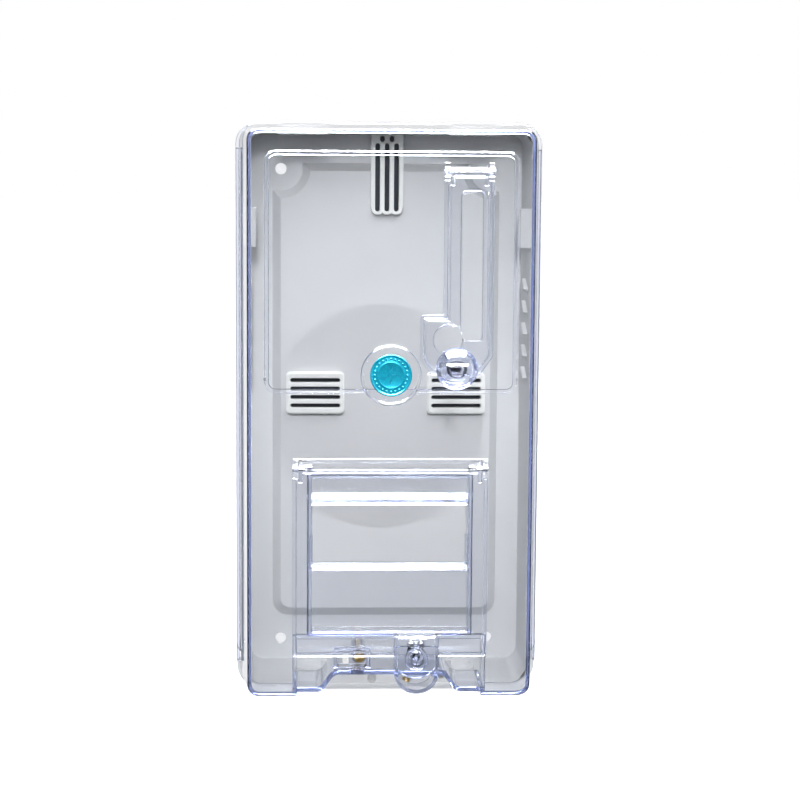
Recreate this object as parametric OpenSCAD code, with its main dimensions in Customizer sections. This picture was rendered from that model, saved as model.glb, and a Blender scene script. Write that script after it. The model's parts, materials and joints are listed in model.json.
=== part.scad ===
// Wall-mounted enclosure for one electricity meter and its circuit breakers.
// A grey moulded base carries three slotted meter pads. A clear cover hangs from two hooks
// at the top of the base and has a small card door and a breaker flap of its own.
// Frame: X to the right, Z up, the back face lies in y = 0 and the front looks along -Y.
// The origin is the centre of the four wall holes. A "depth" is a distance in front of the
// back face, so a depth of 55 is the plane y = -55.

/* [Base] */
// Distance between the wall holes, across
hole_dx = 150; // [140:1:156]
// Distance between the wall holes, up
hole_dz = 340; // [334:1:344]
// Radius of a wall hole
hole_r = 4; // [2.5:0.5:5]
// Half the outer width of the base at its front edge
base_hw = 102.6; // [102:0.1:102.7]
// Depth of the base's front edge
base_d = 54; // [53.5:0.1:54]
// Thickness of the back plate
floor_t = 4; // [3:0.5:5]
// Depth of the raised middle of the back plate
plateau_d = 13; // [11:0.5:13]

/* [Cover] */
// Half the width of the cover's rim
rim_hw = 105.2; // [105:0.1:107]
// Height of the top of the cover's rim
rim_top = 202.6; // [202.6:0.1:203]
// Height of the foot of the base
rim_bottom = -195.5; // [-197:0.1:-195]
// Depth of the cover's front face
face_d = 112; // [108:0.5:118]
// Wall thickness of the clear mouldings
wall = 2.6; // [2.2:0.1:2.8]
// Height of the raised panel on the front face
panel_t = 3; // [2.8:0.1:3]
// Radius of the round boss that holds the badge
ring_r = 20.5; // [18:0.5:20.5]
// Radius of the badge
badge_r = 14.1; // [10:0.1:15]

/* [Breaker window] */
// Width of the window, six modules of 17.5 mm
window_w = 104; // [88:1:105]
// Height of the window
window_h = 45; // [44:0.5:46]

/* [Doors] */
// Thickness of a door's clear pane
pane_t = 2.4; // [2:0.1:2.6]
// Radius of the door knob
knob_r = 14; // [12:0.5:14.5]
// Radius of a door hinge pin
pin_r = 1.2; // [1:0.1:1.4]
// Radial gap round a part that turns
fit = 0.1; // [0.05:0.01:0.1]

/* [Hidden] */
$fn = 64;

eps = 0.05;
gap = 0.4;

// Base: inner faces at the back plate and at the front edge.
floor_hw = 96.9;
floor_lo = -184.9;
floor_hi = 195.6;
lip_hw = 99.4;
lip_lo = -190.6;
lip_hi = 197;
base_lo = -193.6;
base_hi = 200;
plateau_hw = 75;
plateau_lo = -145.5;
plateau_hi = 168.7;
plateau_slope = 5.6;
louvre_z0 = 20.5;
louvre_pitch = 15.6;
block_lo = 116.5;
block_hi = 143.5;
grommet_x = 48;
grommet_d = 27;
grommet_r = 12.5;
grommet_h = 9.5;
drain_x = 39;

// Tab at the foot of the base with the boss of the cover screw.
tab_hw = 46;
tab_top = -174.5;
tab_back = base_d - 5;
tab_front = base_d + 0.8;
seal_hole = [-10, -187.6, 3.1];
spare_hole = [drain_x, -186.3, 2];
insert = [14.3, -187.9, 2.2];
boss_r = 4.9;
insert_r = 3.2;
boss_front = 57;

// Top hinge of the cover: a round bead on the cover hangs in two hooks of the base.
swing_d = 57.8;
swing_z = 200.3;
bead_r = rim_top - swing_z;
hook_x = 59;
hook_w = 34;
hook_low = 193.6;
hook_high = 197.3;
hook_front = 60.5;
hook_r = 4.3;

// Cover: half width at the rim, outline at the front edge and the bevel in front of it.
root_hw = 102.5;
flange_d = 58.5;
edge_hw = 96;
edge_lo = -185.4;
edge_hi = 197;
edge_r = 7.5;
bevel = 1.2;
bevel_in = 1;

// Cover: openings and bays.
cover_back = 55.3;
panel_hw = 84.5;
panel_lo = 21.6;
panel_hi = 182.6;
panel_d = face_d + panel_t;
panel_in = 2.8;
flank = 0.7;
badge_z = 34.1;
ring_h = 3;
ring_draft = 0.25;
ring_w = 2.2;
card_slot = [47, 60.4, 57.6, 155.4];
card_hole = [38.2, 58, 9.2];
card_rim = 1.4;
tray_hw = 53;
tray_lo = -140;
tray_hi = -35;
tray_d = face_d - 12;
window_top = -52.5;
window_lo = window_top - window_h;
hood_d = face_d - 2.5;
shelf_back = face_d - 26;
hood_bevel = 7;
shelf_bevel = 3.8;
bay_hw = 62.6;
bay_top = -146;
bay_d = face_d - 6;
notch_hw = 37.2;
notch_z = -172;
notch_low_hw = 45.5;
notch_low_z = -184;
notch_r = 7;
pocket = [-35, -15, -166.9, -156.8];
pocket_d = face_d - 16;
screw_x = -20;
screw_z = -161.2;
post_x = -29.4;

// Cams on the shafts of the knob and of the lock, and half the widths of the square shafts.
cam_w = 6;
cam_l = 12.6;
cam_t = 3;
square_shaft = 2.2;
lock_shaft = 1.8;

// Card door and its knob.
door_axis_d = face_d + 6.4;
door_axis_z = 169.3;
door_l = 34.5;
door_r = 67.5;
door_lo = 35;
boot_l = 19;
boot_hi = 75;
boot_cut = [7.4, 10];
toe_cut = [8.8, 12];
door_back = panel_d + gap;
door_front = face_d + 9.5;
knob_x = 43.4;
knob_z = 39.3;
knob_base = door_front + gap;
knob_top = face_d + 21;
card_cam_d = panel_d - cam_t - 3;
ear_w = 3.8;
barrel_r = 3;
knuckle = 9;
ear_h = 5.8;

// Breaker flap and its lock.
flap_axis_d = face_d + 3.4;
flap_axis_z = -29;
flap_hw = 65.5;
flap_lo = -157;
flap_back = face_d + gap;
flap_front = face_d + 6.5;
lock_x = 17.85;
lock_z = -157;
lug_hw = 15;
lug_top = -140;
lug_lo = -179.8;
lug_back = flap_front + fit;
lug_front = face_d + 16;
lug_wall = 2.2;
lock_screw_dx = 3.4;
lock_screw_z = -147.6;
lock_cam_d = bay_d - cam_t - 3.1;
barrel_lock_r = 5;

// ---------- shared shapes ----------

// A rectangle with round corners between two X and two Z values.
module round_rect(x0, x1, z0, z1, r) {
    translate([x0 + r, z0]) square([x1 - x0 - 2 * r, z1 - z0]);
    translate([x0, z0 + r]) square([x1 - x0, z1 - z0 - 2 * r]);
    for (x = [x0 + r, x1 - r], z = [z0 + r, z1 - r])
        translate([x, z]) circle(r = r);
}

// A rectangle with only its two lower corners round.
module u_rect(x0, x1, z0, z1, r) {
    intersection() {
        round_rect(x0, x1, z0, z1 + 2 * r, r);
        translate([x0, z0]) square([x1 - x0, z1 - z0]);
    }
}

// Extrudes a flat X-Z outline from depth d0 to depth d1.
module at_depth(d0, d1) {
    translate([0, -d0, 0]) rotate([90, 0, 0]) linear_extrude(d1 - d0) children();
}

// A block with round corners from depth d0 to depth d1.
module slab(x0, x1, z0, z1, r, d0, d1) {
    at_depth(d0, d1) round_rect(x0, x1, z0, z1, r);
}

// A plain box.
module block(x0, x1, z0, z1, d0, d1) {
    translate([x0, -d1, z0]) cube([x1 - x0, d1 - d0, z1 - z0]);
}

// A round bar along the depth.
module bar_y(x, z, r, d0, d1) {
    translate([x, -d0, z]) rotate([90, 0, 0]) cylinder(h = d1 - d0, r = r);
}

// A round bar along X.
module bar_x(x0, x1, d, z, r) {
    translate([x0, -d, z]) rotate([0, 90, 0]) cylinder(h = x1 - x0, r = r);
}

// Repeats its children on the left and on the right.
module both_sides() {
    children();
    mirror([1, 0, 0]) children();
}

// ---------- base ----------

// The tray of the base: drafted walls, with a foot at the bottom as wide as the cover's rim.
module base_tray() {
    difference() {
        union() {
            hull() {
                slab(-base_hw + 3, base_hw - 3, base_lo + 6, base_hi - 1, 13, 0, 1, $fn = 32);
                slab(-base_hw, base_hw, base_lo, base_hi, 15, base_d - 4, base_d, $fn = 32);
            }
            at_depth(base_d - 12, base_d)
                u_rect(-rim_hw + 0.2, rim_hw - 0.2, rim_bottom, -175, 18.5);
        }
        hull() {
            slab(-floor_hw, floor_hw, floor_lo, floor_hi, 9, floor_t, floor_t + 0.5, $fn = 32);
            slab(-lip_hw, lip_hw, lip_lo, lip_hi, 12, base_d, base_d + 1, $fn = 32);
        }
    }
}

// The raised middle of the back plate, cut back in a cone round the two upper wall holes.
module plateau() {
    out = plateau_slope;
    difference() {
        hull() {
            slab(-plateau_hw - out, plateau_hw + out, plateau_lo - 7, plateau_hi + 5.2, 11,
                floor_t - 1, floor_t + 0.5, $fn = 32);
            slab(-plateau_hw, plateau_hw, plateau_lo, plateau_hi, 7,
                plateau_d - 1, plateau_d, $fn = 32);
        }
        both_sides()
            translate([hole_dx / 2, -floor_t + eps, hole_dz / 2])
                rotate([90, 0, 0])
                    cylinder(h = plateau_d - floor_t + 0.2, r1 = 15.4, r2 = 21);
    }
}

// The space behind the raised middle, open to the wall, with a solid zone behind each pad.
module plateau_hollow() {
    hw = plateau_hw - 4;
    upper_hw = plateau_hw - 22;
    difference() {
        union() {
            block(-hw, hw, plateau_lo + 4, plateau_hi - 26, -1, plateau_d - 4);
            block(-upper_hw, upper_hw, plateau_hi - 30, plateau_hi - 4, -1, plateau_d - 4);
        }
        block(-13, 13, top_slot_lo - 4, plateau_hi, -2, plateau_d);
        both_sides() block(29, hw + 1, low_z - 16, low_z + 16, -2, plateau_d);
    }
}

// One hook of the top hinge: an arm from the top wall that ends in a round cradle.
module hinge_hook() {
    x0 = hook_x - hook_w / 2;
    difference() {
        union() {
            block(x0, x0 + hook_w, hook_low, hook_high, base_d - 10, hook_front);
            block(x0, x0 + hook_w, hook_low, base_hi - 0.8, base_d - 10, base_d - 3);
            intersection() {
                bar_x(x0, x0 + hook_w, swing_d, swing_z, hook_r);
                block(x0 - 1, x0 + hook_w + 1, hook_low - 4, swing_z - 1.2, base_d + 1.1,
                    hook_front + 10);
            }
        }
        bar_x(x0 - 1, x0 + hook_w + 1, swing_d, swing_z, bead_r + fit);
    }
}

// One sloping vent slot through a side wall, with a hood over it.
module louvre_slot(z) {
    translate([floor_hw - 4, -38, z]) rotate([30, 0, 0]) cube([14, 13, 3], center = false);
}
module louvre_hood(z) {
    translate([floor_hw - 1.6, -38.5, z + 3]) rotate([30, 0, 0]) cube([3.4, 14, 1.6]);
}

// The front tab at the foot, seen through the notch of the cover, with the screw boss.
module lock_tab() {
    block(-tab_hw, tab_hw, base_lo, tab_top, tab_back, tab_front);
    bar_y(screw_x, screw_z, boss_r, base_d - 12, boss_front);
    block(screw_x - boss_r, screw_x + boss_r, tab_top - 7, screw_z, base_d - 12, tab_front);
    both_sides()
        block(tab_hw - 2, tab_hw, base_lo + 1, tab_top - 8, floor_t + 20, tab_back + 1);
}

// A round hole through the tab, given as [x, z, r].
module tab_hole(h) {
    bar_y(h[0], h[1], h[2], tab_back - 1, tab_front + 1);
}

module base_shell() {
    color([0.80, 0.81, 0.82])
    difference() {
        union() {
            base_tray();
            plateau();
            block(-10.5, 10.5, 160, floor_hi + 1, floor_t - 1, plateau_d);
            both_sides() {
                block(lip_hw - 8, base_hw - 2, block_lo, block_hi, base_d - 14, base_d - 3);
                hinge_hook();
                for (i = [0 : 4]) louvre_hood(louvre_z0 + i * louvre_pitch);
            }
            for (x = [-grommet_x, grommet_x])
                translate([x, -grommet_d, base_lo + 1.5])
                    cylinder(h = grommet_h - 1.5, r = grommet_r + 4);
            lock_tab();
        }
        // wall holes
        for (x = [-1, 1], z = [-1, 1])
            bar_y(x * hole_dx / 2, z * hole_dz / 2, hole_r, -1, floor_t + 1);
        // groove for the gasket
        at_depth(base_d - 1, base_d + 1) gasket_ring();
        plateau_hollow();
        // the slots of the pads go on into the base
        top_slots(slot_back, plateau_d + 1);
        both_sides() low_slots(slot_back, plateau_d + 1);
        // vents, cable entries, drain
        both_sides()
            for (i = [0 : 4]) louvre_slot(louvre_z0 + i * louvre_pitch);
        for (x = [-grommet_x, grommet_x])
            translate([x, -grommet_d, base_lo - 2]) cylinder(h = 16, r = grommet_r);
        block(drain_x - 4, drain_x + 4, base_lo - 4, -184, 26, base_d - 7);
        // holes of the lock tab
        for (h = [seal_hole, spare_hole, insert]) tab_hole(h);
        bar_y(screw_x, screw_z, insert_r, base_d - 13, boss_front + 1);
        // sockets for the pins of the pads
        top_pins(pad_pin_r + fit, floor_t, plateau_d + 1);
        both_sides() low_pins(pad_pin_r + fit, floor_t, plateau_d + 1);
    }
}

// The closed line that the gasket follows along the front edge.
module gasket_ring() {
    difference() {
        round_rect(-lip_hw - 2.4, lip_hw + 2.4, lip_lo - 2.2, lip_hi + 2.2, 13.6);
        round_rect(-lip_hw - 0.6, lip_hw + 0.6, lip_lo - 0.4, lip_hi + 0.4, 12);
    }
}

module rim_gasket() {
    color([0.66, 0.67, 0.68])
    at_depth(base_d - 1, base_d + 0.95) gasket_ring();
}

// ---------- meter pads ----------

pad_front = plateau_d + 6;
pad_pin_r = 1.1;
pad_pin_back = plateau_d - 5;
slot_back = floor_t;
top_pitch = 6.65;
top_slot = 3.4;
top_slot_lo = 140.5;
low_pitch = 6.05;
low_slot = 3.1;
low_x = 50.3;
low_z = 11.4;

// A slot with round ends along Z.
module slot_z(x, z0, z1, w) {
    translate([x - w / 2, z0 + w / 2]) square([w, z1 - z0 - w]);
    for (z = [z0 + w / 2, z1 - w / 2]) translate([x, z]) circle(d = w, $fn = 32);
}

// A slot with round ends along X.
module slot_x(x0, x1, z, w) {
    translate([x0 + w / 2, z - w / 2]) square([x1 - x0 - w, w]);
    for (x = [x0 + w / 2, x1 - w / 2]) translate([x, z]) circle(d = w, $fn = 32);
}

// The slots of the top pad: three long ones and two short ones above them.
module top_slots(d0, d1) {
    at_depth(d0, d1) {
        for (i = [-1 : 1]) slot_z(i * top_pitch, top_slot_lo, 188.4, top_slot);
        for (i = [-0.5, 0.5]) slot_z(i * top_pitch, 189.3, 193.6, top_slot);
    }
}

// The four slots of a lower pad.
module low_slots(d0, d1) {
    at_depth(d0, d1)
        for (i = [-1.5 : 1 : 1.5])
            slot_x(low_x - 17.8, low_x + 17.8, low_z + i * low_pitch, low_slot);
}

// The pins at the back of the top pad, between its slots.
module top_pins(r, d0, d1) {
    for (x = [-top_pitch / 2, top_pitch / 2], z = [152, 180]) bar_y(x, z, r, d0, d1);
}

// The pins at the back of a lower pad, beside its slots.
module low_pins(r, d0, d1) {
    for (x = [low_x - 19.2, low_x + 19.2]) bar_y(x, low_z, r, d0, d1);
}

module meter_pad_top() {
    color([0.90, 0.91, 0.90])
    difference() {
        union() {
            slab(-11.4, 11.4, 143, floor_hi - 0.3, 1.2, plateau_d, pad_front);
            for (i = [-1 : 1])
                bar_y(i * top_pitch, 142.2, 4.1, plateau_d, pad_front);
            top_pins(pad_pin_r, pad_pin_back, plateau_d + 1);
        }
        top_slots(plateau_d - 1, pad_front + 1);
    }
}

// A lower pad, centred on low_x.
module low_pad() {
    difference() {
        union() {
            slab(low_x - 20.8, low_x + 20.8, low_z - 15, low_z + 15, 3.4, plateau_d, pad_front - 0.8);
            slab(low_x - 20, low_x + 20, low_z - 14.2, low_z + 14.2, 3, plateau_d, pad_front);
            low_pins(pad_pin_r, pad_pin_back, plateau_d + 1);
        }
        low_slots(plateau_d - 1, pad_front + 1);
    }
}

module meter_pad_left() {
    color([0.90, 0.91, 0.90]) mirror([1, 0, 0]) low_pad();
}

module meter_pad_right() {
    color([0.90, 0.91, 0.90]) low_pad();
}

// ---------- small parts held by the base ----------

// Two cable grommets in the bottom wall: a collar to be cut to the cable below, a thin skin
// that the cable pierces above.
module cable_grommets() {
    top = grommet_h + 2.4;
    color([0.66, 0.67, 0.68])
    for (x = [-grommet_x, grommet_x])
        translate([x, -grommet_d, base_lo])
            difference() {
                union() {
                    translate([0, 0, -1.5]) cylinder(h = 3, r = grommet_r + 2.5);
                    cylinder(h = top, r = grommet_r);
                    translate([0, 0, grommet_h])
                        cylinder(h = top - grommet_h, r1 = grommet_r + 2.2, r2 = grommet_r);
                    translate([0, 0, -5.4]) cylinder(h = 4, r1 = 7, r2 = 10);
                }
                translate([0, 0, 0.5]) cylinder(h = top - 1.7, r = grommet_r - 2.4);
                translate([0, 0, -6]) cylinder(h = 8, r = 4);
            }
}

module cover_insert() {
    color([0.80, 0.62, 0.28])
    difference() {
        bar_y(screw_x, screw_z, insert_r, base_d - 8, boss_front);
        bar_y(screw_x, screw_z, 2.1, base_d - 9, boss_front + 1);
    }
}

module lock_insert() {
    color([0.80, 0.62, 0.28])
    difference() {
        union() {
            bar_y(insert[0], insert[1], insert[2], tab_back, tab_front);
            bar_y(insert[0], insert[1], insert[2] + 0.6, tab_front, tab_front + 1.6);
        }
        bar_y(insert[0], insert[1], 1.2, tab_back - 1, tab_front + 2);
    }
}

// ---------- main cover ----------

// The outer form of the cover: drafted walls, a bevel round the front face.
module cover_form() {
    hull() {
        slab(-root_hw, root_hw, -193, rim_top, 15, cover_back, flange_d, $fn = 32);
        slab(-edge_hw, edge_hw, edge_lo, edge_hi, edge_r,
            face_d - bevel - 0.5, face_d - bevel, $fn = 32);
        slab(-edge_hw + bevel_in, edge_hw - bevel_in, edge_lo + bevel_in, edge_hi - bevel_in,
            edge_r - bevel_in, face_d - 0.5, face_d, $fn = 32);
    }
}

// The space inside the cover.
module cover_space() {
    hull() {
        slab(-root_hw + wall, root_hw - wall, -193 + wall, rim_top - wall, 12.5,
            cover_back - 1, flange_d, $fn = 32);
        slab(-edge_hw + wall, edge_hw - wall, edge_lo + wall, edge_hi - wall, edge_r - 2,
            face_d - wall - 0.5, face_d - wall, $fn = 32);
    }
}

// The arc of radius r that rounds the corner b between the points a and c.
function corner_arc(a, b, c, r) =
    let (
        u = (a - b) / norm(a - b),
        w = (c - b) / norm(c - b),
        half = acos(u * w) / 2,
        middle = b + (u + w) / norm(u + w) * r / sin(half),
        first = b + u * r / tan(half) - middle,
        last = b + w * r / tan(half) - middle,
        start = atan2(first[1], first[0]),
        turn = (atan2(last[1], last[0]) - start + 540) % 360 - 180
    )
    [for (i = [0 : 6]) middle + r * [cos(start + turn * i / 6), sin(start + turn * i / 6)]];

// The right half of the outline of the notch, from the middle to the foot, grown by g.
function notch_half(g) =
    let (
        top = [notch_hw + g * 0.5, notch_z + g],
        low = [notch_low_hw + g * 0.5, notch_low_z + g]
    )
    concat(
        corner_arc([0, notch_z + g], top, low, notch_r),
        corner_arc(top, low, [bay_hw, low[1]], notch_r),
        [[bay_hw + g, low[1]], [bay_hw + g, -200]]
    );

// The notch at the bottom, grown by g on its upper side and flanks.
module notch(g, d0, d1) {
    at_depth(d0, d1)
        both_sides() polygon(concat([[-1, -200], [-1, notch_z + g]], notch_half(g)));
}

// The raised panel with its steep flank.
module raised_panel() {
    hull() {
        slab(-panel_hw, panel_hw, panel_lo, panel_hi, 7.5, face_d - 0.5, face_d, $fn = 32);
        slab(-panel_hw + flank, panel_hw - flank, panel_lo + flank, panel_hi - flank, 6.8,
            panel_d - 0.3, panel_d, $fn = 32);
    }
}

// The round boss of the badge: a steep cone, ring_r wide where it leaves the panel.
module badge_ring() {
    translate([0, -face_d + 1, badge_z])
        rotate([90, 0, 0])
            cylinder(h = panel_t + ring_h + 1, r1 = ring_r + ring_draft * (panel_t + 1),
                r2 = ring_r - ring_draft * ring_h);
}

// The card opening grown by g: a long slot and a round hole beside it.
module card_opening(g, d0, d1) {
    slab(card_slot[0] - g, card_slot[1] + g, card_slot[2] - g, card_slot[3] + g, 3 + g, d0, d1);
    bar_y(card_hole[0], card_hole[1], card_hole[2] + g, d0, d1);
}

// The recess behind the flap with its window: a sloping hood above it and a shelf below it.
module window_body() {
    w = wall;
    block(-tray_hw - w, tray_hw + w, tray_lo - w, tray_hi + w, tray_d - w, face_d - 1);
    block(-window_w / 2 - 2, window_w / 2 + 2, window_lo - 2.2, window_lo + 20, shelf_back, tray_d);
}

module window_cut() {
    difference() {
        block(-tray_hw, tray_hw, tray_lo, tray_hi, tray_d, face_d + 1);
        hood();
    }
    block(-window_w / 2, window_w / 2, window_lo, window_top + 3, shelf_back - 1, tray_d + 1);
}

// The profile of the hood and of the shelf with its bevelled front edge.
module hood() {
    translate([-tray_hw - 0.5, 0, 0])
        rotate([90, 0, 90])
            linear_extrude(2 * tray_hw + 1) {
                polygon([
                    [-tray_d + 1, window_top + 5.4], [-hood_d + hood_bevel, window_top + 5.4],
                    [-hood_d, window_top - 1.6], [-hood_d, window_top - 2.2],
                    [-tray_d + 1, window_top + 3]
                ]);
                polygon([
                    [-tray_d + 1, window_lo - 2.2], [-hood_d, window_lo - 2.2],
                    [-hood_d, window_lo - 1.8], [-hood_d + shelf_bevel, window_lo + 2],
                    [-tray_d + 1, window_lo + 2]
                ]);
            }
}

// Two ears that carry the pins of a door between x0 and x1.
module ears(x0, x1, d0, d, z) {
    for (x = [x0, x1 - ear_w]) {
        block(x, x + ear_w, z - ear_h, z + ear_h, d0 - 1, d);
        bar_x(x, x + ear_w, d, z, 3.4);
    }
}

// The pins of a door, seen from one side.
module pins(x0, x1, d, z) {
    bar_x(x0, x0 + 7.5, d, z, pin_r);
    bar_x(x1 - 7.5, x1, d, z, pin_r);
}

// The slot that a lock cam passes through, turned upright.
module cam_slot(x, z, d0, d1) {
    slab(x - 3.7, x + 3.7, z - 7.8, z + 7.8, 1.2, d0, d1);
}

// The flange of the cover outside the base: a ring and two side skirts.
module cover_flange() {
    slab(-rim_hw, rim_hw, -174.2, rim_top, 16, cover_back, 58.2);
    both_sides() block(rim_hw - 2, rim_hw, -174.2, 184, 47, 58);
}

module main_cover() {
    color([0.80, 0.85, 0.95, 0.35])
    difference() {
        union() {
            difference() {
                union() {
                    difference() {
                        union() {
                            cover_form();
                            raised_panel();
                            cover_flange();
                        }
                        notch(0, cover_back - 1, panel_d + 5);
                        block(-bay_hw, bay_hw, -200, bay_top, bay_d, face_d + 1);
                    }
                    badge_ring();
                }
                difference() {
                    cover_space();
                    notch(wall, cover_back - 2, panel_d + 5);
                    block(-bay_hw - wall, bay_hw + wall, -200, bay_top + wall, bay_d - wall,
                        face_d);
                }
                slab(-panel_hw + panel_in, panel_hw - panel_in, panel_lo + panel_in,
                    panel_hi - panel_in, 5, face_d - wall - 1, panel_d - wall);
            }
            window_body();
            block(pocket[0] - 2.2, pocket[1] + 2.2, pocket[2] - 2, pocket[3] + 2,
                pocket_d - wall, bay_d - 1);
            bar_y(screw_x, screw_z, 5, boss_front + 0.6, pocket_d - 1);
            card_opening(card_rim, panel_d - 0.5, panel_d + 1.6);
            ears(door_l, door_r, panel_d, door_axis_d, door_axis_z);
            ears(-flap_hw, flap_hw, face_d, flap_axis_d, flap_axis_z);
            // drip ledge over the flap
            block(-flap_hw, flap_hw, flap_axis_z + 3.7, flap_axis_z + 6.5, face_d - 1, face_d + 3);
        }
        window_cut();
        // recess for the badge
        bar_y(0, badge_z, ring_r - ring_w, panel_d, panel_d + ring_h + 1);
        card_opening(0, face_d - 6, panel_d + 2);
        cam_slot(knob_x, knob_z, face_d - 6, panel_d + 1);
        cam_slot(lock_x, lock_z, bay_d - 6, bay_d + 1);
        // pocket of the cover screw
        slab(pocket[0], pocket[1], pocket[2], pocket[3], 1.5, pocket_d, bay_d + 1);
        bar_y(screw_x, screw_z, 2.3, boss_front, pocket_d + 1);
        bar_y(screw_x, screw_z, 4, boss_front, boss_front + 3);
        // holes for the hinge pins
        bar_x(door_l - 1, door_l + ear_w + 1, door_axis_d, door_axis_z, pin_r);
        bar_x(door_r - ear_w - 1, door_r + 1, door_axis_d, door_axis_z, pin_r);
        bar_x(-flap_hw - 1, -flap_hw + ear_w + 1, flap_axis_d, flap_axis_z, pin_r);
        bar_x(flap_hw - ear_w - 1, flap_hw + 1, flap_axis_d, flap_axis_z, pin_r);
        // rounded upper back edge that turns in the hooks
        block(-120, 120, swing_z - 1, rim_top + 1, 40, swing_d);
        for (s = [-1, 1])
            block(s * hook_x - hook_w / 2 - 0.6, s * hook_x + hook_w / 2 + 0.6,
                190, swing_z - 0.4, 54, 62.6);
    }
    color([0.80, 0.85, 0.95, 0.35])
        bar_x(-88, 88, swing_d, swing_z, bead_r);
}

module badge_disc() {
    color([0.05, 0.62, 0.74])
    union() {
        bar_y(0, badge_z, badge_r, panel_d, panel_d + 1.4);
        bar_y(0, badge_z, badge_r - 1.2, panel_d, panel_d + 1.7);
    }
}

// A white post with a cross hole for the seal wire.
module seal_post() {
    color([0.95, 0.95, 0.93])
    difference() {
        union() {
            slab(post_x - 2, post_x + 2, screw_z - 3.9, screw_z + 3.9, 1, pocket_d, pocket_d + 8);
            bar_y(post_x, screw_z, 1.6, pocket_d, pocket_d + 8.8);
        }
        bar_x(post_x - 5, post_x + 5, pocket_d + 5.5, screw_z, 1);
    }
}

module cover_screw() {
    color([0.82, 0.64, 0.30])
    difference() {
        union() {
            bar_y(screw_x, screw_z, 3.6, pocket_d + 1, pocket_d + 4.6);
            bar_y(screw_x, screw_z, 2, boss_front + 0.8, pocket_d + 1.5);
        }
        block(screw_x - 4, screw_x + 4, screw_z - 0.5, screw_z + 0.5, pocket_d + 3.2, pocket_d + 5);
        bar_x(screw_x - 5, screw_x + 5, pocket_d + 2.2, screw_z, 0.8);
    }
}

module cover_screw_washer() {
    color([0.30, 0.30, 0.31])
    difference() {
        bar_y(screw_x, screw_z, 3.9, pocket_d + 0.3, pocket_d + 1);
        bar_y(screw_x, screw_z, 2, pocket_d - 1, pocket_d + 2);
    }
}

module cover_screw_clip() {
    color([0.70, 0.71, 0.72])
    difference() {
        bar_y(screw_x, screw_z, 3.4, boss_front + 1.6, boss_front + 2.4);
        bar_y(screw_x, screw_z, 2, boss_front + 1, boss_front + 3);
    }
}

module card_door_pins() {
    color([0.80, 0.81, 0.83]) pins(door_l, door_r, door_axis_d, door_axis_z);
}

module flap_pins() {
    color([0.80, 0.81, 0.83]) pins(-flap_hw, flap_hw, flap_axis_d, flap_axis_z);
}

// ---------- card door ----------

// What a slanted corner takes off: cut is its width and height, side is 1 on the left and -1
// on the right, and the slant moves in by g.
module slant(x, side, cut, g) {
    reach = 10;
    size = norm(cut);
    along = [side * cut[0], -cut[1]] * reach / size;
    inward = [side * cut[1], cut[0]] * g / size;
    translate([x, door_lo])
        polygon([
            [0, cut[1]] + inward - along, [side * cut[0], 0] + inward + along,
            [-side * reach, -reach]
        ]);
}

// The boot-shaped outline of the card door, drawn in by g.
module door_outline(g, r) {
    difference() {
        union() {
            round_rect(door_l + g, door_r - g, door_lo + g, door_axis_z - g, r);
            round_rect(boot_l + g, door_r - g, door_lo + g, boot_hi - g, r);
        }
        slant(boot_l, 1, boot_cut, g);
        slant(door_r, -1, toe_cut, g);
    }
}

module card_door() {
    x0 = door_l + ear_w + gap;
    x1 = door_r - ear_w - gap;
    color([0.80, 0.85, 0.95, 0.35])
    difference() {
        union() {
            difference() {
                at_depth(door_back, door_front) door_outline(0, 3);
                at_depth(door_back - 1, door_front - pane_t) door_outline(pane_t, 1.2);
                for (x = [door_l - 1, x1])
                    block(x, x + ear_w + gap + 1, door_axis_z - ear_h - gap, door_axis_z + 8,
                        door_back - 1, door_front + 1);
            }
            bar_x(x0, x1, door_axis_d, door_axis_z, barrel_r);
            for (x = [x0, x1 - 2.4])
                block(x, x + 2.4, door_axis_z - 9, door_axis_z, door_back, door_front);
            bar_y(knob_x, knob_z, 8.4, door_back, door_front);
        }
        // the recessed line round the pane
        at_depth(door_front - 0.7, door_front + 1)
            difference() {
                door_outline(3.2, 2.6);
                door_outline(4.2, 2);
            }
        bar_y(knob_x, knob_z, 3.6 + fit, door_back - 1, door_front + 1);
        bar_y(knob_x, knob_z, 5.4, door_front - 1.6, door_front + 1);
        bar_x(x0 - 1, x0 + 4, door_axis_d, door_axis_z, pin_r + fit);
        bar_x(x1 - 4, x1 + 1, door_axis_d, door_axis_z, pin_r + fit);
    }
}

// A flat rubber ring under the knob.
module card_door_oring() {
    color([0.18, 0.18, 0.19])
    translate([knob_x, -(door_front - 0.8), knob_z])
        rotate([90, 0, 0])
            rotate_extrude() translate([4.6, 0]) circle(r = 0.7, $fn = 24);
}

// The domed knob with a finger bar across it, on a shaft through the door.
module card_knob() {
    color([0.86, 0.88, 0.96, 0.45])
    union() {
        difference() {
            translate([knob_x, -knob_base, knob_z])
                rotate([90, 0, 0])
                    rotate_extrude() polygon(dome_points());
            both_sides_of_bar(1) finger_hollow();
            both_sides_of_bar(-1) finger_hollow();
        }
        bar_y(knob_x, knob_z, 3.6, panel_d - 2.3, knob_base + 0.5);
        square_bar(knob_x, knob_z, square_shaft, card_cam_d, panel_d - 2);
    }
}

// The half section of the dome: a straight foot and then a round crown.
function dome_points() =
    let (h = knob_top - knob_base, foot = 2.2)
    concat([[0, 0], [knob_r, 0]],
        [for (a = [0 : 10 : 90]) [knob_r * cos(a), foot + (h - foot) * sin(a)]]);

module both_sides_of_bar(s) {
    translate([knob_x, -knob_base, knob_z + s * 6.2]) children();
}

// The hollow beside the finger bar.
module finger_hollow() {
    translate([0, -12.4, 0]) rotate([0, 90, 0]) cylinder(h = 15, r = 4.2, center = true);
}

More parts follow.
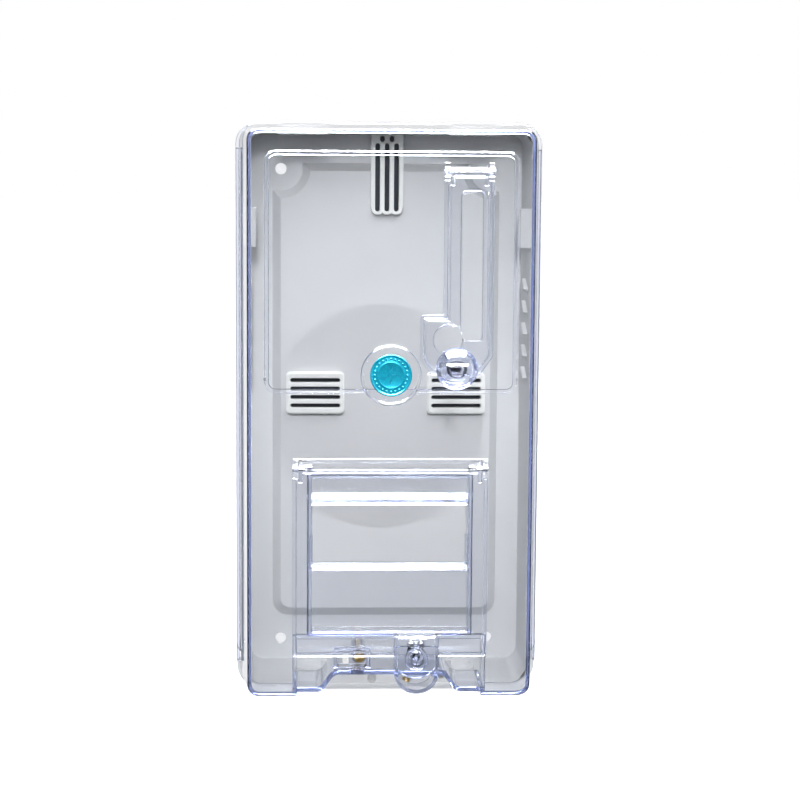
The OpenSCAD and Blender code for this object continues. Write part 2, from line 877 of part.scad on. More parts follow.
// A cam plate with its long side upright, from depth d forwards.
module cam_plate(x, z, d) {
    slab(x - cam_w / 2, x + cam_w / 2, z - cam_l / 2, z + cam_l / 2, 1.5, d, d + cam_t);
}

// A square bar along the depth, with half width s.
module square_bar(x, z, s, d0, d1) {
    block(x - s, x + s, z - s, z + s, d0, d1);
}

module card_cam() {
    color([0.95, 0.95, 0.93])
    difference() {
        cam_plate(knob_x, knob_z, card_cam_d);
        square_bar(knob_x, knob_z, square_shaft, card_cam_d - 1, card_cam_d + cam_t + 1);
    }
}

module card_cam_screw() {
    color([0.72, 0.73, 0.75])
    difference() {
        bar_y(knob_x, knob_z, 2.9, card_cam_d - 2, card_cam_d);
        block(knob_x - 3, knob_x + 3, knob_z - 0.4, knob_z + 0.4, card_cam_d - 3, card_cam_d - 1.1);
    }
}

// ---------- breaker flap ----------

module breaker_flap() {
    x = flap_hw - ear_w - gap;
    color([0.80, 0.85, 0.95, 0.35])
    difference() {
        union() {
            difference() {
                slab(-flap_hw, flap_hw, flap_lo, flap_axis_z, 2.5, flap_back, flap_front);
                // hollow behind the pane and behind the thick frame
                slab(-flap_hw + pane_t, flap_hw - pane_t, flap_lo + pane_t, flap_axis_z - pane_t,
                    1.2, flap_back - 1, flap_back + 1.6);
                difference() {
                    slab(-flap_hw + pane_t, flap_hw - pane_t, flap_lo + pane_t,
                        flap_axis_z - pane_t, 1.2, flap_back, flap_front - pane_t);
                    block(-tray_hw - 2, tray_hw + 2, tray_lo - 2, tray_hi + 2,
                        flap_back - 1, flap_front);
                }
                // the sunk field in front of the pane
                slab(-tray_hw, tray_hw, tray_lo, tray_hi, 2, flap_front - 2.2, flap_front + 1);
                for (s = [-flap_hw - 1, x])
                    block(s, s + ear_w + gap + 1, flap_axis_z - ear_h - gap, flap_axis_z + 8,
                        flap_back - 1, flap_front + 1);
            }
            for (s = [-x, x - knuckle]) bar_x(s, s + knuckle, flap_axis_d, flap_axis_z, barrel_r);
            for (s = [-x, x - 2.4])
                block(s, s + 2.4, flap_axis_z - 9, flap_axis_z, flap_back, flap_front);
            // the tongue that carries the lock
            at_depth(flap_back, flap_front)
                u_rect(lock_x - lug_hw, lock_x + lug_hw, -171.8, -150, 14.6);
        }
        bar_y(lock_x, lock_z, barrel_lock_r + 1.4, flap_back - 1, flap_front + 1);
        lock_screws(1.1, flap_front - 5, flap_front + 1);
        bar_x(-x - 1, -x + 4, flap_axis_d, flap_axis_z, pin_r + fit);
        bar_x(x - 4, x + 1, flap_axis_d, flap_axis_z, pin_r + fit);
    }
}

// The clear U-shaped cup round the lock.
module flap_lock_housing() {
    x0 = lock_x - lug_hw;
    x1 = lock_x + lug_hw;
    t = lug_wall;
    color([0.80, 0.85, 0.95, 0.35])
    difference() {
        union() {
            difference() {
                union() {
                    at_depth(lug_back, lug_front) u_rect(x0, x1, lug_lo, lug_top, 14.6);
                    at_depth(bay_d + 1.2, flap_front + 1)
                        u_rect(x0, x1, lug_lo, -164, 14.6);
                }
                at_depth(bay_d, lug_front - t) u_rect(x0 + t, x1 - t, lug_lo + t, lug_top - t, 12.4);
                // leave room for the tongue of the flap
                at_depth(bay_d, lug_back)
                    u_rect(x0 - 1, x1 + 1, -172, -150, 15);
            }
            bar_y(lock_x, lock_z, barrel_lock_r + 2.6, lug_back, lug_front);
            lock_screws(2.6, lug_back, flap_front + 3);
        }
        bar_y(lock_x, lock_z, barrel_lock_r + fit, flap_front - 1, lug_front + 1);
        lock_screws(1.1, flap_front - 1, flap_front + 4);
    }
}

// Two round bars side by side above the lock.
module lock_screws(r, d0, d1) {
    for (s = [-1, 1]) bar_y(lock_x + s * lock_screw_dx, lock_screw_z, r, d0, d1);
}

module flap_lock_screws() {
    color([0.78, 0.79, 0.80]) {
        lock_screws(1.1, flap_front - 4.5, flap_front + 3.2);
        lock_screws(1.9, flap_front + 3, flap_front + 4.2);
    }
}

module flap_lock_barrel() {
    color([0.80, 0.85, 0.95, 0.35])
    difference() {
        union() {
            bar_y(lock_x, lock_z, barrel_lock_r, flap_back, lug_front - 1.2);
            bar_y(lock_x, lock_z, 2.6, lock_cam_d + cam_t, flap_back + 1);
            square_bar(lock_x, lock_z, lock_shaft, lock_cam_d, lock_cam_d + cam_t + 0.1);
            bar_y(lock_x, lock_z, 1.4, lock_cam_d - 1.9, lock_cam_d + 0.1);
        }
        block(lock_x - 0.7, lock_x + 0.7, lock_z - 2.8, lock_z + 2.8, lug_front - 5, lug_front);
        bar_y(lock_x, lock_z, 1.5, lug_front - 5, lug_front);
    }
}

module flap_lock_cam() {
    color([0.70, 0.71, 0.73])
    difference() {
        cam_plate(lock_x, lock_z, lock_cam_d);
        square_bar(lock_x, lock_z, lock_shaft, lock_cam_d - 1, lock_cam_d + cam_t + 1);
    }
}

module flap_cam_nut() {
    color([0.66, 0.67, 0.69])
    difference() {
        translate([lock_x, -lock_cam_d + 1.9, lock_z])
            rotate([90, 0, 0])
                cylinder(h = 1.9, r = 2.9, $fn = 6);
        bar_y(lock_x, lock_z, 1.4, lock_cam_d - 3, lock_cam_d + 1);
    }
}

base_shell();
rim_gasket();
meter_pad_top();
meter_pad_left();
meter_pad_right();
cable_grommets();
cover_insert();
lock_insert();
main_cover();
badge_disc();
seal_post();
cover_screw();
cover_screw_washer();
cover_screw_clip();
card_door_pins();
flap_pins();
card_door();
card_door_oring();
card_knob();
card_cam();
card_cam_screw();
breaker_flap();
flap_lock_housing();
flap_lock_screws();
flap_lock_barrel();
flap_lock_cam();
flap_cam_nut();
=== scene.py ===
"""Looks of the meter enclosure: finished meshes, materials, light and camera round the CAD frame."""
import json
import math

import bmesh
import bpy
from mathutils import Matrix, Vector


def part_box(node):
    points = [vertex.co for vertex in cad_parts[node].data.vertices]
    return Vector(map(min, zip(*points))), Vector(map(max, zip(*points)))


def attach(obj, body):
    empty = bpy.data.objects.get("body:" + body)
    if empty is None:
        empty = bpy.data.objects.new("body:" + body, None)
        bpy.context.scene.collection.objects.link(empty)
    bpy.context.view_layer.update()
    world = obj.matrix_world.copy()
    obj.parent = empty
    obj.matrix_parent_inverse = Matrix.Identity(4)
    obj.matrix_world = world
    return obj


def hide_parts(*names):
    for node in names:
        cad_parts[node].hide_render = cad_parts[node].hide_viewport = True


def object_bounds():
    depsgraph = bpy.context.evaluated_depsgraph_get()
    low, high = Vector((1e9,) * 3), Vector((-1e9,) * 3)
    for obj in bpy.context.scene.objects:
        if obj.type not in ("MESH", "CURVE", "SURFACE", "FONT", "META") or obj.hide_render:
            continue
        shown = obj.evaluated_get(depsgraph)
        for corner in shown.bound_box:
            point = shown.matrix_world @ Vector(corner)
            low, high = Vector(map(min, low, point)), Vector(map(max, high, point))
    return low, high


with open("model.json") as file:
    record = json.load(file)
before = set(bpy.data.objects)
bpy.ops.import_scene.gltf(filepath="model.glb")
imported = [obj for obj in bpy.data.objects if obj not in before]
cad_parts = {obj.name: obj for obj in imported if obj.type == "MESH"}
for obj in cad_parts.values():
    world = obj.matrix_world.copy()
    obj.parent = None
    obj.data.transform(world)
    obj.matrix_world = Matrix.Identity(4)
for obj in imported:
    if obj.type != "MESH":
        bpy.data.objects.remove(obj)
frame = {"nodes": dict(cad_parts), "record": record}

MM = 0.001
cad_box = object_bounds()

# ---------- where the camera stands ----------

CAM_AZIMUTH = math.radians(2.463)  # the camera stands a little to the left
CAM_ELEVATION = math.radians(6.623)  # and above
CAM_ROLL = math.radians(0.391)
CAM_DISTANCE = 1.4384
CAM_TARGET = Vector((0.00887, -0.050, 0.01004))
CAM_LENS = 92.58


def make_camera():
    data = bpy.data.cameras.new("camera")
    data.lens = CAM_LENS
    data.sensor_width = 36.0
    data.clip_start = 0.05
    data.clip_end = 60.0
    cam = bpy.data.objects.new("camera", data)
    bpy.context.collection.objects.link(cam)
    look = Vector((
        math.sin(CAM_AZIMUTH) * math.cos(CAM_ELEVATION),
        math.cos(CAM_AZIMUTH) * math.cos(CAM_ELEVATION),
        -math.sin(CAM_ELEVATION),
    ))
    right = Vector((math.cos(CAM_AZIMUTH), -math.sin(CAM_AZIMUTH), 0.0))
    up = right.cross(look)
    rolled_right = right * math.cos(CAM_ROLL) + up * math.sin(CAM_ROLL)
    rolled_up = up * math.cos(CAM_ROLL) - right * math.sin(CAM_ROLL)
    rows = Matrix((rolled_right, rolled_up, -look)).transposed()
    cam.matrix_world = Matrix.Translation(CAM_TARGET - look * CAM_DISTANCE) @ rows.to_4x4()
    bpy.context.scene.camera = cam


# ---------- materials ----------


class Nodes:
    """A short way to build a material's node tree round one Principled shader."""

    def __init__(self, name, **plain):
        self.mat = bpy.data.materials.new(name)
        self.mat.use_nodes = True
        self.tree = self.mat.node_tree
        self.shader = self.tree.nodes["Principled BSDF"]
        self.output = self.tree.nodes["Material Output"]
        for key, value in plain.items():
            self.shader.inputs[key.replace("_", " ")].default_value = value

    def add(self, kind, **props):
        node = self.tree.nodes.new(kind)
        for key, value in props.items():
            setattr(node, key, value)
        return node

    def link(self, out, into):
        self.tree.links.new(out, into)

    def place(self):
        return self.add("ShaderNodeTexCoord").outputs["Object"]

    def noise(self, scale, detail=2.0, rough=0.5):
        node = self.add("ShaderNodeTexNoise")
        node.inputs["Scale"].default_value = scale
        node.inputs["Detail"].default_value = detail
        node.inputs["Roughness"].default_value = rough
        self.link(self.place(), node.inputs["Vector"])
        return node.outputs["Fac"]

    def ramp(self, fac, low, high):
        """A colour that goes from low to high over the middle part of fac's range."""
        node = self.add("ShaderNodeValToRGB")
        for stop, spot, colour in zip(node.color_ramp.elements, (0.3, 0.7), (low, high)):
            stop.position = spot
            stop.color = (*colour, 1.0)
        self.link(fac, node.inputs["Fac"])
        return node.outputs["Color"]

    def span(self, fac, low, high):
        node = self.add("ShaderNodeMapRange")
        node.inputs["To Min"].default_value = low
        node.inputs["To Max"].default_value = high
        self.link(fac, node.inputs["Value"])
        return node.outputs["Result"]

    def maths(self, kind, first, second):
        """A math node on two values, each a socket or a plain number."""
        node = self.add("ShaderNodeMath", operation=kind)
        for value, socket in zip((first, second), node.inputs):
            if isinstance(value, float):
                socket.default_value = value
            else:
                self.link(value, socket)
        return node.outputs[0]

    def chain(self, kind, values):
        """One value out of many, by math nodes in a row."""
        total = values[0]
        for value in values[1:]:
            total = self.maths(kind, total, value)
        return total

    def blend(self, fac, socket, colour):
        """The colour from a socket where fac is 0, and a plain colour where it is 1."""
        node = self.add("ShaderNodeMix", data_type="RGBA")
        self.link(fac, node.inputs["Factor"])
        self.link(socket, node.inputs[6])
        node.inputs[7].default_value = (*colour, 1.0)
        return node.outputs[2]

    def bump(self, height, strength, distance):
        node = self.add("ShaderNodeBump")
        node.inputs["Strength"].default_value = strength
        node.inputs["Distance"].default_value = distance
        self.link(height, node.inputs["Height"])
        self.link(node.outputs["Normal"], self.shader.inputs["Normal"])

    def colour(self, socket):
        self.link(socket, self.shader.inputs["Base Color"])

    def roughness(self, socket):
        self.link(socket, self.shader.inputs["Roughness"])


GRAIN = 2600.0  # how fine the spark-eroded grain of moulded plastic is


def grained_plastic(name, rough):
    """Injection-moulded plastic with its fine grain, as yet without a colour."""
    m = Nodes(name, IOR=1.53)
    m.roughness(m.span(m.noise(GRAIN * 0.3), rough - 0.05, rough + 0.07))
    m.bump(m.noise(GRAIN, 2.0, 0.6), 0.22, 0.0001)
    return m


def flow_clouds(m, low, high):
    """A colour with the faint clouds that the flow of the melt leaves in it."""
    return m.ramp(m.noise(14.0, 3.0, 0.6), low, high)


def moulded_plastic(name, low, high, rough):
    m = grained_plastic(name, rough)
    m.colour(flow_clouds(m, low, high))
    return m.mat


# Where the base's slots are, in mm, for the painted shade inside them: the Y range goes from just
# behind the face of the raised middle to just past the slots' floor, and each of the three groups has
# its X and Z ranges.
SLOT_DEPTHS = (-12.8, -3.5)
SLOT_GROUPS = [
    ((-10.3, 10.3), (140.0, 195.0)),
    ((31.0, 69.6), (-2.8, 25.6)),
    ((-69.6, -31.0), (-2.8, 25.6)),
]
# The dark colour painted inside the slots: painted shade, standing in for the shade that falls in
# them.
PAINTED_SLOT_SHADE = (0.04, 0.047, 0.055)


def within(m, ranges):
    """1 where X, Y and Z are each inside their range in mm, and 0 elsewhere."""
    spot = m.add("ShaderNodeSeparateXYZ")
    m.link(m.place(), spot.inputs[0])
    tests = []
    for axis, (start, end) in zip(spot.outputs, ranges):
        tests.append(m.maths("GREATER_THAN", axis, start * MM))
        tests.append(m.maths("LESS_THAN", axis, end * MM))
    return m.chain("MULTIPLY", tests)


def base_plastic(name, low, high, rough):
    """The grey of the base, with painted shade in place of its grey inside the narrow slots."""
    m = grained_plastic(name, rough)
    groups = [within(m, (sides, SLOT_DEPTHS, heights)) for sides, heights in SLOT_GROUPS]
    # Painted shade: inside the slots the grey gives way to the dark colour.
    m.colour(m.blend(m.chain("MAXIMUM", groups), flow_clouds(m, low, high), PAINTED_SLOT_SHADE))
    return m.mat


def clear_plastic(name, tint, density):
    """Polished clear polycarbonate with a faint blue body colour that shows along thick paths."""
    m = Nodes(name, Transmission_Weight=1.0, IOR=1.56, Roughness=0.0)
    m.shader.inputs["Base Color"].default_value = (0.985, 0.99, 1.0, 1.0)
    volume = m.add("ShaderNodeVolumeAbsorption")
    volume.inputs["Color"].default_value = (*tint, 1.0)
    volume.inputs["Density"].default_value = density
    m.link(volume.outputs["Volume"], m.output.inputs["Volume"])
    m.bump(m.noise(45.0, 1.0), 0.01, 0.0004)
    return m.mat


MACHINING = 900.0  # how fine the machining marks of metal are


def turned_metal(name, low, high, rough):
    """Turned or stamped metal with fine machining marks and slight staining."""
    m = Nodes(name, Metallic=1.0)
    m.colour(m.ramp(m.noise(220.0, 3.0, 0.7), low, high))
    m.roughness(m.span(m.noise(MACHINING, 4.0, 0.8), rough - 0.06, rough + 0.12))
    m.bump(m.noise(MACHINING * 2.0, 3.0, 0.7), 0.12, 0.00005)
    return m.mat


def soft_rubber(name, low, high, rough):
    """Matt rubber with a dusty bloom."""
    m = Nodes(name, IOR=1.5)
    m.colour(m.ramp(m.noise(90.0, 4.0, 0.7), low, high))
    m.roughness(m.span(m.noise(600.0), rough - 0.06, rough + 0.06))
    m.bump(m.noise(1500.0, 3.0, 0.6), 0.25, 0.0001)
    return m.mat


def lacquered_teal(name):
    """Metallic teal lacquer whose tone varies at random, with a fine sparkle."""
    m = Nodes(name, Metallic=0.55, Roughness=0.28)
    m.shader.inputs["Coat Weight"].default_value = 0.6
    m.shader.inputs["Coat Roughness"].default_value = 0.12
    m.colour(m.ramp(m.noise(420.0, 4.0, 0.7), (0.004, 0.26, 0.40), (0.006, 0.42, 0.56)))
    m.bump(m.noise(1800.0, 2.0), 0.15, 0.00006)
    return m.mat


def white_floor(name):
    """A light table: white, and just bright enough to meet the white backdrop."""
    m = Nodes(name, Roughness=0.9)
    m.shader.inputs["Specular IOR Level"].default_value = 0.0
    m.colour(m.ramp(m.noise(2.0, 2.0), (0.78, 0.78, 0.78), (0.80, 0.80, 0.80)))
    m.shader.inputs["Emission Color"].default_value = (1.0, 1.0, 1.0, 1.0)
    m.shader.inputs["Emission Strength"].default_value = 0.9
    return m.mat


MATERIALS = {
    "grey_abs": base_plastic("grey_abs", (0.60, 0.61, 0.62), (0.64, 0.65, 0.66), 0.50),
    "pad_abs": moulded_plastic("pad_abs", (0.80, 0.82, 0.80), (0.85, 0.86, 0.84), 0.45),
    "clear_pc": clear_plastic("clear_pc", tint=(0.44, 0.53, 0.84), density=34.0),
    "gasket_rubber": soft_rubber("gasket_rubber", (0.62, 0.63, 0.64), (0.68, 0.69, 0.70), 0.7),
    "black_rubber": soft_rubber("black_rubber", (0.03, 0.03, 0.032), (0.05, 0.05, 0.052), 0.65),
    "brass_part": turned_metal("brass_part", (0.62, 0.40, 0.13), (0.80, 0.56, 0.22), 0.26),
    "badge_teal": lacquered_teal("badge_teal"),
    "white_nylon": moulded_plastic("white_nylon", (0.86, 0.86, 0.84), (0.9, 0.9, 0.88), 0.4),
    "pin_steel": turned_metal("pin_steel", (0.60, 0.61, 0.63), (0.72, 0.73, 0.75), 0.22),
    "cam_steel": turned_metal("cam_steel", (0.52, 0.53, 0.55), (0.64, 0.65, 0.67), 0.32),
}


# ---------- finished meshes ----------

NODE_SLOT = {row["node"]: row["material_slot"] for row in frame["record"]["subparts"]}
NODE_BODY = {
    node: body
    for body, nodes in frame["record"]["behaviour"]["bodies"].items()
    for node in nodes
}


def dress(obj, node):
    """Gives a piece its node's material and body, and lets it stand for the node."""
    slot = NODE_SLOT[node]
    obj.data.materials.clear()
    obj.data.materials.append(MATERIALS[slot])
    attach(obj, NODE_BODY[node])
    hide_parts(node)
    if slot == "clear_pc":
        obj.visible_shadow = False


WELD = 0.002 * MM  # closer than this, two points are one
SHARP = math.radians(28.0)  # an edge that turns by more is sharp
FLAT = math.radians(0.4)  # faces that differ by less become one
CELL = 13.0 * MM  # pitch of the cuts that divide the flat faces
LONG = 2.0 * MM  # a shorter edge need not be kept clear of a cut
CLEAR = 1.2 * MM  # how far a cut stays from an edge that runs alongside it
NUDGE = 0.4 * MM  # a cut that comes too near is moved by steps of this
NUDGES = 6  # and by so many steps at most, to either side
FAR_AWAY = 1.0  # a place in metres that no piece reaches


def cut_into_cells(bm, axis):
    """Cuts every face at about CELL along one axis, so that no face is long and thin."""
    spots = [vert.co[axis] for vert in bm.verts]
    edges = {
        edge.verts[0].co[axis] for edge in bm.edges
        if edge.calc_length() > LONG
        and abs(edge.verts[0].co[axis] - edge.verts[1].co[axis]) < WELD
        and edge.is_manifold and edge.calc_face_angle(0.0) > SHARP
    } or {FAR_AWAY}
    normal = [0.0, 0.0, 0.0]
    normal[axis] = 1.0
    for step in range(1, int((max(spots) - min(spots)) / CELL)):
        middle = min(spots) + step * CELL
        shifts = sorted(range(NUDGES, -NUDGES - 1, -1), key=abs)
        tries = [middle + shift * NUDGE for shift in shifts]
        spot = max(tries, key=lambda at: min(CLEAR, min(abs(at - edge) for edge in edges)))
        point = [0.0, 0.0, 0.0]
        point[axis] = spot
        made = bmesh.ops.bisect_plane(
            bm, geom=bm.verts[:] + bm.edges[:] + bm.faces[:], dist=WELD, plane_co=point,
            plane_no=normal,
        )
        for part in made["geom_cut"]:
            if isinstance(part, bmesh.types.BMEdge):
                part.seam = True


def shade_smooth(bm, sharp):
    """Turns the faces outwards and shades them smooth, but for the edges that turn by more."""
    bmesh.ops.recalc_face_normals(bm, faces=bm.faces)
    for face in bm.faces:
        face.smooth = True
    for edge in bm.edges:
        edge.smooth = not (edge.is_manifold and edge.calc_face_angle(0.0) > sharp)


def clean(bm):
    """Welds the CAD triangles, lays them out anew in cells and marks the sharp edges."""
    bmesh.ops.remove_doubles(bm, verts=bm.verts, dist=WELD)
    bmesh.ops.dissolve_degenerate(bm, edges=bm.edges, dist=WELD)
    for axis in (0, 2):
        cut_into_cells(bm, axis)
    bmesh.ops.dissolve_limit(
        bm, angle_limit=FLAT, verts=bm.verts, edges=bm.edges, delimit={"SEAM"},
    )
    shade_smooth(bm, SHARP)


def finished(node, edge_mm):
    """Makes a clean copy of a CAD node with rounded edges, which stands for that node."""
    mesh = frame["nodes"][node].data.copy()
    obj = bpy.data.objects.new(node + "_skin", mesh)
    bpy.context.collection.objects.link(obj)
    bm = bmesh.new()
    bm.from_mesh(mesh)
    clean(bm)
    bm.to_mesh(mesh)
    bm.free()
    bevel = obj.modifiers.new("edges", "BEVEL")
    bevel.width = edge_mm * MM
    bevel.segments = 2
    bevel.limit_method = "ANGLE"
    bevel.angle_limit = SHARP
    bevel.use_clamp_overlap = False
    bevel.loop_slide = True
    weighted = obj.modifiers.new("normals", "WEIGHTED_NORMAL")
    weighted.keep_sharp = True
    weighted.weight = 100
    dress(obj, node)


# The width in mm of the rounding on each piece's edges.
EDGES_MM = {
    "base_shell": 0.35,
    "rim_gasket": 0.3,
    "meter_pad_top": 0.3,
    "meter_pad_left": 0.3,
    "meter_pad_right": 0.3,
    "cable_grommets": 0.4,
    "cover_insert": 0.2,
    "lock_insert": 0.25,
    "main_cover": 0.35,
    "seal_post": 0.3,
    "cover_screw": 0.25,
    "cover_screw_washer": 0.1,
    "cover_screw_clip": 0.12,
    "card_door_pins": 0.2,
    "flap_pins": 0.2,
    "card_door": 0.3,
    "card_door_oring": 0.05,
    "card_knob": 0.2,
    "card_cam": 0.25,
    "card_cam_screw": 0.25,
    "breaker_flap": 0.35,
    "flap_lock_housing": 0.3,
    "flap_lock_screws": 0.3,
    "flap_lock_barrel": 0.2,
    "flap_lock_cam": 0.25,
    "flap_cam_nut": 0.2,
}


# ---------- the badge ----------

# Lengths are in mm, and heights start at the badge's back.
BADGE_R = 14.1
BADGE_FACE = 0.9
BADGE_STEPS = 96  # round the disc
BADGE_SHARP = math.radians(40.0)
BEADS = 24
BEAD_RING_R = 11.0
BEAD_R = 0.8
BEAD_RISE = 0.55
SUNK = 0.1  # how far the beads and the bolt reach into the face
BOLT_TOP = 1.45
BOLT_TAPER = 0.82  # the size of the bolt's top compared with its foot
# The X and Z of the bolt's corners.
BOLT = [(1.6, 6.6), (-3.6, -0.6), (-0.5, -0.6), (-1.6, -6.6), (3.6, 0.6), (0.5, 0.6)]


def badge_profile():
    """Radius and height in mm from the middle out: field, inner ring, bead track, raised rim."""
    return [
        (0.0, BADGE_FACE), (8.0, BADGE_FACE), (8.35, 1.15), (8.7, 1.25), (9.05, 1.15),
        (9.4, BADGE_FACE), (12.5, BADGE_FACE), (12.85, 1.25), (13.2, 1.5), (13.6, 1.5),
        (13.95, 1.25), (BADGE_R, 0.9), (BADGE_R, 0.0), (0.0, 0.0),
    ]


def add_lathe(bm, profile, steps):
    """Spins a profile of (radius, height) about the height axis."""
    rows = []
    for radius, height in profile:
        if radius == 0.0:
            rows.append([bm.verts.new((0.0, -height, 0.0))])
            continue
        turn = 2.0 * math.pi / steps
        rows.append([
            bm.verts.new((radius * math.cos(i * turn), -height, radius * math.sin(i * turn)))
            for i in range(steps)
        ])
    for low, high in zip(rows, rows[1:]):
        for i in range(steps):
            k = (i + 1) % steps
            ring = [low[i % len(low)], low[k % len(low)], high[k % len(high)], high[i % len(high)]]
            corners = [v for n, v in enumerate(ring) if v not in ring[:n]]
            if len(corners) > 2:
                bm.faces.new(corners)


def add_bead(bm, x, z):
    """A flattened half ball that stands on the badge's face."""
    made = bmesh.ops.create_uvsphere(bm, u_segments=12, v_segments=8, radius=1.0)
    for vert in made["verts"]:
        vert.co = Vector((
            x + vert.co.x * BEAD_R,
            SUNK - BADGE_FACE - vert.co.y * BEAD_RISE,
            z + vert.co.z * BEAD_R,
        ))


def add_bolt(bm):
    """A plain lightning bolt with sloping sides."""
    low = [bm.verts.new((x, SUNK - BADGE_FACE, z)) for x, z in BOLT]
    high = [bm.verts.new((x * BOLT_TAPER, -BOLT_TOP, z * BOLT_TAPER)) for x, z in BOLT]
    bm.faces.new(high)
    bm.faces.new(low[::-1])
    for i in range(len(BOLT)):
        k = (i + 1) % len(BOLT)
        bm.faces.new((low[i], low[k], high[k], high[i]))


def make_badge():
    """The embossed badge: a rim, a ring of beads and a bolt, in place of the plain CAD disc."""
    low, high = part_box("badge_disc")
    middle = (Vector(low) + Vector(high)) / 2.0
    bm = bmesh.new()
    add_lathe(bm, badge_profile(), BADGE_STEPS)
    for i in range(BEADS):
        turn = 2.0 * math.pi * i / BEADS
        add_bead(bm, BEAD_RING_R * math.cos(turn), BEAD_RING_R * math.sin(turn))
    add_bolt(bm)
    shade_smooth(bm, BADGE_SHARP)
    bmesh.ops.scale(bm, vec=(MM, MM, MM), verts=bm.verts)
    bmesh.ops.translate(bm, vec=(middle.x, high[1], middle.z), verts=bm.verts)
    mesh = bpy.data.meshes.new("badge_embossed")
    bm.to_mesh(mesh)
    bm.free()
    obj = bpy.data.objects.new("badge_embossed", mesh)
    bpy.context.collection.objects.link(obj)
    dress(obj, "badge_disc")
    obj.visible_shadow = False


def make_pieces():
    for node, edge in EDGES_MM.items():
        finished(node, edge)
    make_badge()


# ---------- stage and light ----------

FLOOR_SIDE = 24.0
FLOOR_SHIFT = 6.0  # the floor reaches further behind the object than in front of it
FLOOR_GAP = 0.0002  # between the floor and the object's lowest point


def make_floor():
    """A floor that shows to the camera alone: in the clear plastic its far edge would draw a line."""
    bpy.ops.mesh.primitive_plane_add(size=1.0)
    floor = bpy.context.object
    floor.name = "floor"
    floor.scale = (FLOOR_SIDE, FLOOR_SIDE, 1.0)
    floor.location = (0.0, FLOOR_SHIFT, cad_box[0][2] - FLOOR_GAP)
    floor.data.materials.append(white_floor("floor_white"))
    floor.visible_diffuse = False
    floor.visible_glossy = False
    floor.visible_transmission = False


def aim(obj, at, towards):
    """Stands an object at one place with its -Z axis towards another, and tells how far that is."""
    ray = Vector(towards) - Vector(at)
    obj.location = at
    obj.rotation_euler = ray.to_track_quat("-Z", "Y").to_euler()
    return ray.length


def hide_from_polish(light):
    """Keeps a light from being mirrored by the polished plastic or seen through it."""
    light.visible_glossy = False
    light.visible_transmission = False


def add_light(name, kind, power):
    data = bpy.data.lights.new(name, kind)
    data.energy = power
    light = bpy.data.objects.new(name, data)
    bpy.context.collection.objects.link(light)
    light.visible_camera = False
    return light


def area_light(name, at, size, power, mirrored=False):
    """A rectangular light that faces the middle of the frame."""
    light = add_light(name, "AREA", power)
    light.data.shape = "RECTANGLE"
    light.data.size, light.data.size_y = size
    aim(light, at, (0.0, 0.0, 0.0))
    if not mirrored:
        hide_from_polish(light)


def centre_spot(at, towards, power, width, height):
    """A soft oval pool of light that brightens the middle of the box."""
    light = add_light("centre", "SPOT", power)
    light.data.shadow_soft_size = 0.2
    light.data.spot_blend = 1.0
    light.data.spot_size = 2.0 * math.atan(height / aim(light, at, towards))
    light.scale = (width / height, 1.0, 1.0)
    hide_from_polish(light)


def glow(name, strength):
    """The white of a bright panel, which shows only in polished surfaces."""
    m = Nodes(name, Roughness=1.0)
    m.colour(m.ramp(m.noise(1.0), (0.8, 0.8, 0.8), (0.82, 0.82, 0.82)))
    m.shader.inputs["Emission Color"].default_value = (1.0, 1.0, 1.0, 1.0)
    m.shader.inputs["Emission Strength"].default_value = strength
    m.mat.cycles.emission_sampling = "NONE"
    return m.mat


def glint_panel(name, at, towards, size, strength):
    """A bright panel that puts glints on the clear plastic and leaves matt surfaces as they are."""
    bpy.ops.mesh.primitive_plane_add(size=1.0)
    panel = bpy.context.object
    panel.name = name
    panel.scale = (*size, 1.0)
    aim(panel, at, towards)
    panel.data.materials.append(glow(name + "_glow", strength))
    panel.visible_camera = False
    panel.visible_diffuse = False
    panel.visible_shadow = False


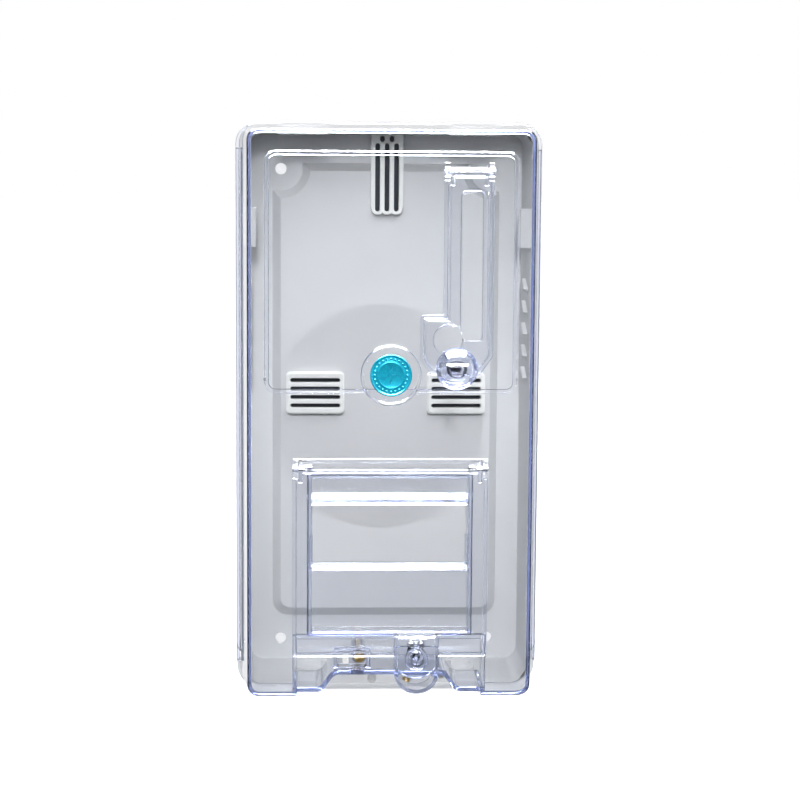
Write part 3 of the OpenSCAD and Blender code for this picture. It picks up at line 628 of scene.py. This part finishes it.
def make_lights():
    """Places in metres: the object stands at the middle, and the camera on the -Y side."""
    area_light("key", at=(0.16, -1.13, 1.24), size=(2.8, 0.8), power=38.0, mirrored=True)
    area_light("front", at=(-0.2, -2.2, 0.1), size=(1.6, 1.2), power=20.0)
    centre_spot(
        at=(-0.03, -1.3, 0.5), towards=(-0.005, 0.0, -0.005), power=215.0, width=0.092, height=0.28,
    )
    area_light("left", at=(-1.3, -1.6, 0.5), size=(0.8, 0.8), power=4.0)
    area_light("back", at=(0.6, 1.9, 0.9), size=(1.2, 1.2), power=26.0)
    glint_panel(
        "overhead", at=(0.0, -0.15, 0.9), towards=(0.0, -0.10, 0.0), size=(1.3, 1.4), strength=40.0,
    )
    for side in (-1.1, 1.1):
        glint_panel(
            "strip", at=(side, -0.55, 0.0), towards=(0.0, -0.06, 0.0), size=(0.09, 1.4), strength=6.6,
        )


# How bright the room is from straight in front of the object (0) to straight behind it (1).
ROOM_STOPS = [
    (0.0, (0.16, 0.17, 0.20, 1.0)),
    (0.45, (0.14, 0.16, 0.24, 1.0)),
    (0.80, (0.16, 0.19, 0.32, 1.0)),
    (0.93, (1.0, 1.0, 1.0, 1.0)),
]


def make_world():
    """A white backdrop behind the object, dim blue-grey sides, and a dim room in front of it."""
    world = bpy.data.worlds.new("studio")
    bpy.context.scene.world = world
    world.use_nodes = True
    tree = world.node_tree
    tree.nodes.clear()
    out = tree.nodes.new("ShaderNodeOutputWorld")
    coords = tree.nodes.new("ShaderNodeTexCoord")
    parts = tree.nodes.new("ShaderNodeSeparateXYZ")
    tree.links.new(coords.outputs["Generated"], parts.inputs[0])
    ramp = tree.nodes.new("ShaderNodeValToRGB")
    stops = ramp.color_ramp.elements
    stops[0].position, stops[0].color = ROOM_STOPS[0]
    stops[1].position, stops[1].color = ROOM_STOPS[-1]
    for place, colour in ROOM_STOPS[1:-1]:
        stops.new(place).color = colour
    depth = tree.nodes.new("ShaderNodeMapRange")
    depth.inputs["From Min"].default_value = -1.0
    tree.links.new(parts.outputs["Y"], depth.inputs["Value"])
    tree.links.new(depth.outputs["Result"], ramp.inputs["Fac"])
    studio = tree.nodes.new("ShaderNodeBackground")
    tree.links.new(ramp.outputs["Color"], studio.inputs["Color"])
    tree.links.new(studio.outputs[0], out.inputs["Surface"])


def set_light_paths():
    """Enough bounces for light to pass through all the layers of clear plastic."""
    scene = bpy.context.scene
    scene.view_settings.view_transform = "Standard"
    scene.cycles.max_bounces = 24
    scene.cycles.transmission_bounces = 24
    scene.cycles.glossy_bounces = 6
    scene.cycles.diffuse_bounces = 4
    scene.cycles.sample_clamp_indirect = 0.0
    scene.cycles.caustics_refractive = False
    scene.cycles.caustics_reflective = False


make_camera()
make_pieces()
make_floor()
make_lights()
make_world()
set_light_paths()
